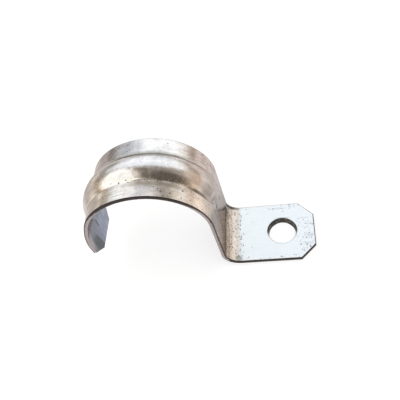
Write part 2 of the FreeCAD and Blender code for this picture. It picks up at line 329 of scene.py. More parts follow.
@dataclass
class Blank:
    """The flat strip before it is bent: a rectangle with clipped corners and a round hole.

    Its outline can be drawn a little inside the true one, which is how the rounded rims and
    both skins come out of the same code.  The leg's corners are cut unequally, the one at
    -across first.  The last four sizes space the rows and rings, and say on how much of the
    hole's far side the burr stands.
    """

    length: float
    width: float = 14.0 * MM
    corner_cut: float = 3.2 * MM
    leg_cuts: Span = (2.5 * MM, 4.0 * MM)
    hole_at: float = 7.0 * MM
    hole_radius: float = 2.95 * MM
    tab_patch: float = 14.4 * MM
    rows: int = 58
    columns: int = 236
    side_steps: int = 40
    cut_steps: int = 14
    leg_steps: int = 8
    end_steps: int = 26
    hole_rings: int = 20
    even_share: float = 0.985
    rim_share: float = 0.994
    ring_growth: float = 1.35
    burr_lead: float = 0.25

    def sides(self, along: np.ndarray, inset: float) -> np.ndarray:
        """Give where the blank's two sides lie, less an inset.

        Args:
            along: Distances along the strip.
            inset: How far inside the true outline.

        Returns:
            Array (..., 2) of places across: the straight sides, or the 45 degree corner cuts
            where those are nearer to the middle.
        """
        half = self.width / 2
        slanted = half - inset * math.sqrt(2)
        tab = np.minimum(half - inset, along + slanted - self.corner_cut)
        left = self.length - along + slanted
        near, far = (np.minimum(tab, left - cut) for cut in self.leg_cuts)
        return np.stack([-near, far], axis=-1)

    def corner_at(self, cut: float, inset: float) -> float:
        """Give how far from an end of the strip a straight side stops, for an inset."""
        return cut + inset * (math.sqrt(2) - 1)

    def shares(self) -> np.ndarray:
        """Give the rows across the strip as shares of its half width, closer at both rims."""
        even = np.linspace(-1, 1, self.rows - 1)[1:-1] * self.even_share
        return np.concatenate([[-1.0, -self.rim_share], even, [self.rim_share, 1.0]])

    def stations(self, inset: float) -> np.ndarray:
        """Give the columns along the arch, from the tab's patch to the tip of the leg.

        Args:
            inset: How far inside the true outline.

        Returns:
            Even steps to the leg's first clipped corner, to its second one and to its tip.
        """
        near, far = (self.length - self.corner_at(cut, inset) for cut in self.leg_cuts)
        arch = np.linspace(self.tab_patch, far, self.columns)
        turn = np.linspace(far, near, self.leg_steps + 1)
        tip = np.linspace(near, self.length - inset, self.cut_steps + 1)
        return np.concatenate([arch, turn[1:], tip[1:]])

    def arch(self, inset: float) -> np.ndarray:
        """Lay out the grid of the arch.

        Args:
            inset: How far inside the true outline.

        Returns:
            Array (columns, rows, 2) of places along and across the strip.
        """
        along = self.stations(inset)
        sides = self.sides(along, inset)
        share = (self.shares()[None, :] + 1) / 2
        across = sides[:, :1] * (1 - share) + sides[:, 1:] * share
        return np.stack([np.broadcast_to(along[:, None], across.shape), across], axis=-1)

    def tab_rim(self, inset: float) -> np.ndarray:
        """Walk the tab's rim from the arch, round its end and back.

        Args:
            inset: How far inside the true outline.

        Returns:
            Array (points, 2), from the side at +across to the side at -across.
        """
        corner = self.corner_at(self.corner_cut, inset)
        side = self.width / 2 - inset
        end = float(self.sides(np.array([inset]), inset)[0, 1])
        marks = [(self.tab_patch, side), (corner, side), (inset, end)]
        marks += [(at, -off) for at, off in reversed(marks)]
        steps = [self.side_steps, self.cut_steps, self.end_steps, self.cut_steps, self.side_steps]
        lines = [
            np.linspace(first, second, count + 1)[:-1]
            for first, second, count in zip(marks, marks[1:], steps)
        ]
        return np.concatenate(lines + [np.array([marks[-1]])])

    def outline(self, inset: float) -> np.ndarray:
        """Walk the whole outline of the strip once.

        Args:
            inset: How far inside the true outline.

        Returns:
            Array (points, 2), without its first point again at the end.
        """
        arch = self.arch(inset)
        there = arch[1:, 0]
        tip = arch[-1, 1:]
        back = arch[1:-1, -1][::-1]
        return np.concatenate([self.tab_rim(inset), there, tip, back])

    def burr_share(self, unit: np.ndarray) -> np.ndarray:
        """Give how much of the burr stands at each direction (points, 2) from the hole's axis."""
        return np.clip(unit[:, 1] + self.burr_lead, 0, 1)

    def tab(self, inset: float, hole_radius: float, burr: float = 0.0) -> np.ndarray:
        """Lay out the rings between the screw hole and the tab's rim.

        Each ring is a blend of the hole's circle and the closed rim, at the same angles.

        Args:
            inset: How far inside the true outline.
            hole_radius: Radius of the innermost ring.
            burr: How far that ring leans into the hole on the +across side.

        Returns:
            Array (rings, points, 2), closed by repeating the first point.
        """
        joint = self.arch(inset)[0]
        rim = np.concatenate([self.tab_rim(inset), joint[1:]])
        centre = np.array([self.hole_at, 0.0])
        spokes = rim - centre
        unit = spokes / np.linalg.norm(spokes, axis=1, keepdims=True)
        circle = centre + unit * (hole_radius - burr * self.burr_share(unit))[:, None]
        share = (np.linspace(0, 1, self.hole_rings + 1) ** self.ring_growth)[:, None, None]
        return circle * (1 - share) + rim * share


@dataclass
class CutRim:
    """The edge that the press leaves: rolled over at the face it enters, nearly sharp below.

    The burr is how far torn metal leans into the screw hole at the underside.
    """

    thickness: float
    rollover: float = 0.17 * MM
    underside: float = 0.05 * MM
    hole_rollover: float = 0.35 * MM
    burr: float = 0.42 * MM
    turn_steps: int = 5
    wall_steps: int = 4

    def steps(self, rollover: float) -> np.ndarray:
        """List the rim's section from the outer skin to the inner one.

        Two quarter circles, one at each face, are joined by a straight wall.

        Args:
            rollover: Radius at the outer face.

        Returns:
            Array (steps, 2) of inset and depth.
        """
        turn = np.linspace(0, math.pi / 2, self.turn_steps + 1)
        top = np.stack([1 - np.sin(turn), 1 - np.cos(turn)], axis=1) * rollover
        low = np.stack([1 - np.cos(turn), np.sin(turn) - 1], axis=1) * self.underside
        low[:, 1] += self.thickness
        wall = np.linspace(top[-1], low[0], self.wall_steps + 1)[1:-1]
        return np.concatenate([top, wall, low])


def quads(rows: int, columns: int) -> np.ndarray:
    """Number the four corners of every face of a grid.

    Args:
        rows: Points down the grid.
        columns: Points across the grid.

    Returns:
        Array (faces, 4) of point numbers.
    """
    index = np.arange(rows * columns).reshape(rows, columns)
    corners = [index[:-1, :-1], index[1:, :-1], index[1:, 1:], index[:-1, 1:]]
    return np.stack(corners, axis=-1).reshape(-1, 4)


@dataclass
class Patch:
    """One grid of the strap's skin: its points, its places on the map and its finish."""

    points: np.ndarray
    places: np.ndarray
    finish: Finish

    def faces(self, first: int) -> np.ndarray:
        """Give the patch's faces, numbered from its first point's place in the whole mesh."""
        rows, columns = self.points.shape[:2]
        return quads(rows, columns) + first


class StrapMesh:
    """The strap's skin, put together from its patches and closed by a weld of their rims."""

    weld = 0.002 * MM

    def __init__(self, name: str) -> None:
        """Start a skin with no patches."""
        self.name = name
        self.patches: List[Patch] = []

    def add(self, points: np.ndarray, places: np.ndarray, finish: Finish) -> None:
        """Add a grid of points, with their places on the map and their finish."""
        self.patches.append(Patch(points, places, finish))

    def build(self) -> bpy.types.Object:
        """Make the Blender object: one closed, smooth shell whose faces look outward.

        Returns:
            The object, at the origin.
        """
        counts = [patch.points.shape[0] * patch.points.shape[1] for patch in self.patches]
        firsts = np.concatenate([[0], np.cumsum(counts)[:-1]])
        points = np.concatenate([patch.points.reshape(-1, 3) for patch in self.patches])
        places = np.concatenate([patch.places.reshape(-1, 2) for patch in self.patches])
        faces = np.concatenate([p.faces(int(at)) for p, at in zip(self.patches, firsts)])
        finish = np.concatenate(
            [np.full(len(patch.faces(0)), int(patch.finish)) for patch in self.patches]
        )
        mesh = bpy.data.meshes.new(self.name)
        mesh.from_pydata(points, [], faces)
        mesh.polygons.foreach_set("material_index", finish.astype(np.int32))
        layer = mesh.uv_layers.new(name="strip")
        layer.uv.foreach_set("vector", places[faces.ravel()].astype(np.float32).ravel())
        work = bmesh.new()
        work.from_mesh(mesh)
        bmesh.ops.remove_doubles(work, verts=work.verts, dist=self.weld)
        bmesh.ops.recalc_face_normals(work, faces=work.faces)
        open_edges = sum(1 for edge in work.edges if not edge.is_manifold)
        work.to_mesh(mesh)
        work.free()
        mesh.shade_smooth()
        body = bpy.data.objects.new(self.name, mesh)
        bpy.context.scene.collection.objects.link(body)
        LOG.info("%s: %d faces, %d open edges", self.name, len(mesh.polygons), open_edges)
        return body


@dataclass
class ConduitStrap:
    """The whole strap: one strip, folded over its side profile with its rib.

    The strip stops short of the profile's end by the leg's trim.  The probe is the step by
    which the rib's slopes are measured.
    """

    profile: SideProfile = field(default_factory=SideProfile)
    probe: float = 0.02 * MM
    leg_trim: float = 0.7 * MM
    rib: PressedRib = field(init=False)
    blank: Blank = field(init=False)
    rim: CutRim = field(init=False)

    def __post_init__(self) -> None:
        """Make the rib, the blank and the rims that belong to the profile."""
        self.rib = PressedRib(self.profile)
        self.blank = Blank(self.profile.length - self.leg_trim)
        self.rim = CutRim(self.profile.thickness)

    def fold(self, places: np.ndarray, depth: np.ndarray) -> np.ndarray:
        """Lay places of the flat blank over the profile.

        The outer face is the profile's point, plus the rib's lift along the outward normal,
        plus the distance across.  A depth is measured square to that face.  With b the lift, c
        the turn a metre, t along the strip, n outward and y across, the face's normal is
        n - t (db/ds) / (1 + b c) - y (db/dy).

        Args:
            places: Array (..., 2) along and across the strip.
            depth: Depths under the outer face.

        Returns:
            Array (..., 3) of points.
        """
        along, across = places[..., 0], places[..., 1]
        point, outward, rate = self.profile.walk(along)
        lift = self.rib.lift(along, across)
        ahead = self.rib.lift(along + self.probe, across)
        behind = self.rib.lift(along - self.probe, across)
        beside = self.rib.lift(along, across + self.probe)
        before = self.rib.lift(along, across - self.probe)
        climb = (ahead - behind) / (2 * self.probe) / (1 + lift * rate)
        lean = (beside - before) / (2 * self.probe)
        flat = np.zeros_like(lift)
        normal = np.stack([outward[..., 0], flat, outward[..., 1]], axis=-1)
        forward = np.stack([-outward[..., 1], flat, outward[..., 0]], axis=-1)
        sideways = np.stack([flat, flat + 1, flat], axis=-1)
        square = normal - forward * climb[..., None] - sideways * lean[..., None]
        square /= np.linalg.norm(square, axis=-1, keepdims=True)
        face = np.stack([point[..., 0], across, point[..., 1]], axis=-1)
        return face + normal * lift[..., None] - square * np.asarray(depth)[..., None]

    def on_map(self, places: np.ndarray, island: Island) -> np.ndarray:
        """Give a skin's places on the map, at one scale along and across the strip.

        Args:
            places: Array (..., 2) along and across the strip.
            island: The skin.

        Returns:
            Array (..., 2) of map coordinates, whose unit is the map's span.
        """
        return places / MAP_SPAN + np.array([0.0, island.value])

    def add_skin(self, mesh: StrapMesh, depth: float, inset: float, hole_radius: float) -> None:
        """Add one face of the sheet: the tab's rings and the arch's grid.

        Args:
            mesh: The skin to add to.
            depth: Depth under the outer face.
            inset: How far the rim stays inside the true outline.
            hole_radius: Radius at which the skin stops round the hole.
        """
        island = Island.OUTER if depth == 0 else Island.INNER
        burr = 0.0 if depth == 0 else self.rim.burr
        for places in (self.blank.tab(inset, hole_radius, burr), self.blank.arch(inset)):
            points = self.fold(places, np.full(places.shape[:2], depth))
            mesh.add(points, self.on_map(places, island), Finish.COAT)

    def add_rim(self, mesh: StrapMesh) -> None:
        """Add the cut edge round the whole strip.

        Args:
            mesh: The skin to add to.
        """
        steps = self.rim.steps(self.rim.rollover)
        loops = np.stack([self.blank.outline(inset) for inset, _ in steps])
        loops = np.concatenate([loops, loops[:, :1]], axis=1)
        depths = np.broadcast_to(steps[:, 1, None], loops.shape[:2])
        travel = np.linalg.norm(np.diff(loops[0], axis=0), axis=1)
        travel = np.concatenate([[0.0], np.cumsum(travel)])
        down = np.linspace(0, self.profile.thickness, len(steps))
        places = np.stack(np.broadcast_arrays(travel[None, :], down[:, None]), axis=-1)
        mesh.add(self.fold(loops, depths), self.on_map(places, Island.CUT), Finish.SHEARED)

    def add_hole(self, mesh: StrapMesh) -> None:
        """Add the wall of the punched screw hole, with its rolled rim and its burr.

        The burr leans into the hole by the square of the depth's share of the thickness.

        Args:
            mesh: The skin to add to.
        """
        steps = self.rim.steps(self.rim.hole_rollover)
        centre = np.array([self.blank.hole_at, 0.0])
        ring = self.blank.tab(0.0, 1.0)[0] - centre
        lean = (steps[:, 1] / self.profile.thickness) ** 2 * self.rim.burr
        radii = self.blank.hole_radius + steps[:, :1] - lean[:, None] * self.blank.burr_share(ring)
        loops = centre + ring[None] * radii[..., None]
        depths = np.broadcast_to(steps[:, 1, None], loops.shape[:2])
        angle = np.linspace(0, 1, ring.shape[0]) * self.blank.hole_radius * math.tau
        down = np.linspace(0, self.profile.thickness, len(steps)) + HOLE_ROW
        places = np.stack(np.broadcast_arrays(angle[None, :], down[:, None]), axis=-1)
        mesh.add(self.fold(loops, depths), self.on_map(places, Island.CUT), Finish.SHEARED)

    def build(self) -> bpy.types.Object:
        """Build the strap's mesh.

        Returns:
            The strap, at the origin.
        """
        mesh = StrapMesh("pressed_strap")
        hole = self.blank.hole_radius
        self.add_skin(mesh, 0.0, self.rim.rollover, hole + self.rim.hole_rollover)
        self.add_skin(mesh, self.profile.thickness, self.rim.underside, hole + self.rim.underside)
        self.add_rim(mesh)
        self.add_hole(mesh)
        return mesh.build()


# ------------------------------------------------------------------------------------------
# Finishes
# ------------------------------------------------------------------------------------------


class Nodes:
    """A node tree with short ways to add its nodes."""

    def __init__(self, tree: bpy.types.NodeTree) -> None:
        """Work on a tree."""
        self.tree = tree

    def put(self, socket: Socket, value: object) -> None:
        """Link a socket to another one, or set its value.

        Args:
            socket: The input to fill.
            value: A socket, a number, or a tuple of numbers.
        """
        if isinstance(value, bpy.types.NodeSocket):
            self.tree.links.new(value, socket)
        elif isinstance(value, tuple) and socket.type == "RGBA" and len(value) == 3:
            socket.default_value = (*value, 1.0)
        else:
            socket.default_value = value

    def add(self, kind: str, settings: Dict[str, object], **inputs: object) -> bpy.types.Node:
        """Add a node.

        Args:
            kind: Blender's name of the node.
            settings: Properties of the node itself.
            inputs: Values or sockets for its inputs, by name with _ for a space.

        Returns:
            The node.
        """
        node = self.tree.nodes.new(kind)
        for name, value in settings.items():
            setattr(node, name, value)
        for name, value in inputs.items():
            self.put(node.inputs[name.replace("_", " ")], value)
        return node

    def operate(self, kind: str, operation: str, values: Sequence[object]) -> bpy.types.Node:
        """Add a node that works something out.

        Args:
            kind: Blender's name of the node.
            operation: Blender's name of the operation.
            values: Sockets or numbers, in the order of the node's inputs.

        Returns:
            The node.
        """
        node = self.add(kind, {"operation": operation})
        for socket, value in zip(node.inputs, values):
            self.put(socket, value)
        return node

    def math(self, operation: str, *values: object) -> Socket:
        """Give the result of a Math node."""
        return self.operate("ShaderNodeMath", operation, values).outputs[0]

    def vector(self, operation: str, *values: object) -> Socket:
        """Give the vector of a Vector Math node."""
        return self.operate("ShaderNodeVectorMath", operation, values).outputs[0]

    def dot(self, *values: object) -> Socket:
        """Give the dot product of two vectors."""
        return self.operate("ShaderNodeVectorMath", "DOT_PRODUCT", values).outputs["Value"]

    def scaled(self, vector: Socket, factor: object) -> Socket:
        """Give a vector times a number.

        Args:
            vector: The vector.
            factor: The number, or a socket.

        Returns:
            The product.
        """
        node = self.operate("ShaderNodeVectorMath", "SCALE", (vector,))
        self.put(node.inputs["Scale"], factor)
        return node.outputs[0]

    def split(self, vector: Socket) -> Sequence[Socket]:
        """Give the three parts of a vector."""
        return self.add("ShaderNodeSeparateXYZ", {}, Vector=vector).outputs

    def smooth(self, value: Socket, span: Sequence[object], to: Span = (0.0, 1.0)) -> Socket:
        """Carry a value smoothly from one range to another.

        Args:
            value: The value.
            span: Where it starts and ends, as numbers or sockets.
            to: What it becomes there.

        Returns:
            The new value, held beyond both ends.
        """
        node = self.add("ShaderNodeMapRange", {"interpolation_type": "SMOOTHSTEP"})
        for socket, item in zip(node.inputs, (value, *span, *to)):
            self.put(socket, item)
        return node.outputs[0]

    def mix(self, share: object, first: object, second: object, blend: str = "MIX") -> Socket:
        """Mix two colours.

        Args:
            share: How much of the second, from 0 to 1.
            first: The first colour.
            second: The second colour.
            blend: Blender's name of the way they mix.

        Returns:
            The mixed colour.
        """
        node = self.add("ShaderNodeMix", {"data_type": "RGBA", "blend_type": blend})
        for index, value in ((0, share), (6, first), (7, second)):
            self.put(node.inputs[index], value)
        return node.outputs[2]

    def grey(self, value: Socket) -> Socket:
        """Give a value as a grey colour."""
        return self.add("ShaderNodeCombineColor", {}, Red=value, Green=value, Blue=value).outputs[0]

    def cloud(self, place: Socket, scale: object, detail: float, roughness: float) -> bpy.types.Node:
        """Add noise, whose scale is one over the size of its blotches."""
        given = {"Vector": place, "Scale": scale, "Detail": detail, "Roughness": roughness}
        return self.add("ShaderNodeTexNoise", {}, **given)

    def noise(self, place: Socket, size: float, detail: float, roughness: float) -> Socket:
        """Give noise whose blotches are about a given size, in the place's own units."""
        return self.cloud(place, 1 / size, detail, roughness).outputs["Fac"]

    def drift(self, place: Socket, scale: object, detail: float, roughness: float) -> Socket:
        """Give a vector that wanders about zero, by up to a half each way."""
        cloud = self.cloud(place, scale, detail, roughness)
        return self.vector("SUBTRACT", cloud.outputs["Color"], (0.5, 0.5, 0.5))

    def relief(self, shader: bpy.types.Node, height: Socket, strength: float, depth: float) -> None:
        """Turn a shader's normal by a height, whose unit stands for a depth in metres."""
        bump = self.add("ShaderNodeBump", {}, Strength=strength, Distance=depth, Height=height)
        self.put(shader.inputs["Normal"], bump.outputs[0])


def emptied(owner: Union[bpy.types.Material, bpy.types.World]) -> Nodes:
    """Switch an owner's nodes on and empty them.

    Args:
        owner: The material or world.

    Returns:
        Its nodes.
    """
    owner.use_nodes = True
    owner.node_tree.nodes.clear()
    return Nodes(owner.node_tree)


def open_group(
    name: str, vectors: Sequence[str], numbers: Sequence[str], result: str
) -> Tuple[Nodes, Mapping[str, Socket], Socket]:
    """Start a node group that gives one number.

    Args:
        name: Name of the group.
        vectors: Names of its vector inputs.
        numbers: Names of its number inputs.
        result: Name of its output.

    Returns:
        Its nodes, what it is given by name, and the socket that takes its result.
    """
    tree = bpy.data.node_groups.new(name, "ShaderNodeTree")
    sockets = [(each, "INPUT", "NodeSocketVector") for each in vectors]
    sockets += [(each, "INPUT", "NodeSocketFloat") for each in numbers]
    sockets.append((result, "OUTPUT", "NodeSocketFloat"))
    for label, side, kind in sockets:
        tree.interface.new_socket(name=label, in_out=side, socket_type=kind)
    nodes = Nodes(tree)
    given = nodes.add("NodeGroupInput", {})
    out = nodes.add("NodeGroupOutput", {})
    return nodes, given.outputs, out.inputs[result]


def patch_group(oval_power: float = 2.6) -> bpy.types.NodeTree:
    """Build the group that marks one soft-edged oval patch of the strip.

    The mask is 1 inside the oval whose half sizes are Long and Wide, and falls smoothly to 0
    over Soft, which is a share of those sizes.  Waver moves the border in and out.

    Args:
        oval_power: Power of the oval's formula, where 2 is an ellipse and more is squarer.

    Returns:
        The node group.
    """
    numbers = ("Long", "Wide", "Soft", "Waver")
    nodes, given, result = open_group("soft_patch", ("Place", "Centre"), numbers, "Mask")
    along, across, _ = nodes.split(nodes.vector("SUBTRACT", given["Place"], given["Centre"]))
    shares = ((along, given["Long"]), (across, given["Wide"]))
    powers = [
        nodes.math("POWER", nodes.math("ABSOLUTE", nodes.math("DIVIDE", *share)), oval_power)
        for share in shares
    ]
    reach = nodes.math("POWER", nodes.math("ADD", *powers), 1 / oval_power)
    reach = nodes.math("ADD", reach, given["Waver"])
    border = [nodes.math(side, 1.0, given["Soft"]) for side in ("SUBTRACT", "ADD")]
    nodes.put(result, nodes.smooth(reach, border, FALL))
    return nodes.tree


@dataclass(frozen=True)
class PitShape:
    """How far the pits are from one round dot in each cell, as shares of cell and size."""

    bends: float = 2.4
    bend_detail: float = 2.0
    bend_roughness: float = 0.5
    push: float = 0.9
    least: float = 0.35
    spread: float = 0.8
    core: float = 0.45


def pits_group(shape: PitShape) -> bpy.types.NodeTree:
    """Build the group that scatters small dark pits.

    Each cell of a cellular pattern may hold one pit.  The cell's own random colour says whether
    it does, against the local density, and how large the pit is.

    Args:
        shape: How the pits differ from round dots.

    Returns:
        The node group.
    """
    numbers = ("Cell", "Size", "Density")
    nodes, given, result = open_group("scattered_pits", ("Place",), numbers, "Pits")
    scale = nodes.math("DIVIDE", 1.0, given["Cell"])
    bends = nodes.math("MULTIPLY", scale, shape.bends)
    push = nodes.drift(given["Place"], bends, shape.bend_detail, shape.bend_roughness)
    push = nodes.scaled(push, nodes.math("MULTIPLY", given["Cell"], shape.push))
    place = nodes.vector("ADD", given["Place"], push)
    cells = nodes.add("ShaderNodeTexVoronoi", {}, Vector=place, Scale=scale)
    parts = nodes.add("ShaderNodeSeparateColor", {}, Color=cells.outputs["Color"]).outputs
    chance = nodes.math("LESS_THAN", parts[0], given["Density"])
    size = nodes.math("MULTIPLY_ADD", parts[1], shape.spread, shape.least)
    size = nodes.math("MULTIPLY", size, given["Size"])
    size = nodes.math("MULTIPLY", size, scale)
    core = nodes.math("MULTIPLY", size, shape.core)
    dot = nodes.smooth(cells.outputs["Distance"], (core, size), FALL)
    nodes.put(result, nodes.math("MULTIPLY", dot, chance))
    return nodes.tree


@dataclass(frozen=True)
class Shade:
    """The sheet's colour at one place along the strip, in millimetres from the tab's end, with
    painted reflection and painted shade in it.
    """

    along: float
    colour: Colour


# Each row mixes the coat's warm tint with painted light: pale stops are painted highlights of the
# soft boxes, and dark stops are painted reflections of a darker surround or painted shade.
TAB_AND_BEND = (
    Shade(0.0, (0.88, 0.94, 0.99)),
    Shade(16.0, (0.87, 0.93, 0.97)),
    Shade(16.5, (0.75, 0.74, 0.74)),
    Shade(16.9, (0.72, 0.66, 0.60)),
    Shade(17.5, (0.81, 0.73, 0.66)),
    Shade(18.2, (0.90, 0.84, 0.77)),
)
# Painted reflection at the riser's foot, where the bend turns down and would otherwise mirror a dark
# part of the room.
RISER_FOOT = (
    Shade(18.8, (0.74, 0.65, 0.58)),
    Shade(19.3, (0.78, 0.69, 0.61)),
    Shade(20.1, (0.77, 0.76, 0.73)),
    Shade(21.0, (0.84, 0.86, 0.85)),
    Shade(22.0, (0.72, 0.70, 0.68)),
)
# The near band: painted reflections, with the painted dark reflection near 46 mm and painted shade
# on the riser.
NEAR_TINT_AND_PAINTED_LIGHT = TAB_AND_BEND + RISER_FOOT + (
    Shade(23.0, (0.56, 0.53, 0.51)),
    Shade(25.5, (0.71, 0.68, 0.66)),
    Shade(28.0, (0.62, 0.58, 0.54)),
    Shade(33.0, (0.40, 0.36, 0.33)),
    Shade(36.0, (0.58, 0.50, 0.44)),
    Shade(39.0, (0.76, 0.63, 0.53)),
    Shade(42.0, (0.97, 0.90, 0.82)),
    Shade(44.4, (0.68, 0.60, 0.51)),
    Shade(46.3, (0.34, 0.30, 0.26)),
    Shade(49.0, (0.70, 0.66, 0.63)),
    Shade(51.0, (0.62, 0.61, 0.61)),
    Shade(52.6, (0.88, 0.85, 0.83)),
    Shade(57.2, (0.97, 0.96, 0.93)),
    Shade(59.0, (0.88, 0.80, 0.70)),
    Shade(61.5, (0.44, 0.38, 0.33)),
    Shade(66.0, (0.56, 0.49, 0.45)),
    Shade(80.0, (0.56, 0.49, 0.46)),
)
# The rib: painted highlights over the crest and painted reflections on its slopes and nose.
RIB_TINT_AND_PAINTED_LIGHT = TAB_AND_BEND + RISER_FOOT + (
    Shade(23.0, (0.44, 0.42, 0.41)),
    Shade(25.0, (0.40, 0.37, 0.35)),
    Shade(28.0, (0.40, 0.36, 0.34)),
    Shade(33.0, (0.44, 0.40, 0.38)),
    Shade(38.0, (0.52, 0.45, 0.41)),
    Shade(41.5, (0.68, 0.61, 0.55)),
    Shade(44.0, (0.90, 0.88, 0.87)),
    Shade(46.0, (0.85, 0.86, 0.87)),
    Shade(49.0, (0.92, 0.94, 0.97)),
    Shade(52.0, (0.85, 0.86, 0.90)),
    Shade(57.5, (0.86, 0.86, 0.87)),
    Shade(60.5, (0.78, 0.70, 0.61)),
    Shade(62.5, (0.48, 0.42, 0.37)),
    Shade(65.0, (0.44, 0.39, 0.36)),
    Shade(69.0, (0.76, 0.72, 0.69)),
    Shade(80.0, (0.62, 0.57, 0.54)),
)
# The far band: painted shade on the riser's far half and a painted highlight along the far slope.
FAR_TINT_AND_PAINTED_LIGHT = TAB_AND_BEND + (
    Shade(18.8, (0.54, 0.48, 0.44)),
    Shade(20.4, (0.38, 0.36, 0.35)),
    Shade(21.2, (0.36, 0.34, 0.33)),
    Shade(22.6, (0.19, 0.17, 0.16)),
    Shade(25.0, (0.38, 0.34, 0.34)),
    Shade(28.0, (0.56, 0.51, 0.50)),
    Shade(35.0, (0.54, 0.47, 0.45)),
    Shade(38.5, (0.56, 0.46, 0.42)),
    Shade(41.0, (0.60, 0.52, 0.48)),
    Shade(43.5, (0.84, 0.80, 0.77)),
    Shade(45.5, (1.00, 1.00, 1.00)),
    Shade(50.5, (0.95, 0.96, 0.98)),
    Shade(52.5, (0.70, 0.71, 0.75)),
    Shade(54.5, (0.46, 0.47, 0.49)),
    Shade(57.0, (0.56, 0.55, 0.57)),
    Shade(59.0, (0.48, 0.45, 0.44)),
    Shade(61.0, (0.35, 0.31, 0.30)),
    Shade(64.0, (0.47, 0.42, 0.41)),
    Shade(80.0, (0.53, 0.46, 0.44)),
)


@dataclass(frozen=True)
class Oval:
    """One oval place of a skin, in millimetres along and across the strip."""

    along: float
    across: float
    long: float
    wide: float


@dataclass(frozen=True)
class StainOrPaintedLight(Oval):
    """One stain or patch of painted light, with how strong it is, how soft its border is and how far
    that wavers.
    """

    colour: Colour
    strength: float
    soft: float = 0.5
    waver: float = 0.8


@dataclass(frozen=True)
class PitField(Oval):
    """One place where pits are dense."""

    density: float
    soft: float = 0.45
    waver: float = 1.0


@dataclass(frozen=True)
class Mottle:
    """One kind of mottling: its noise, how far from the middle it is full, and its strength."""

    noise: Noise
    sharp: float
    amount: float


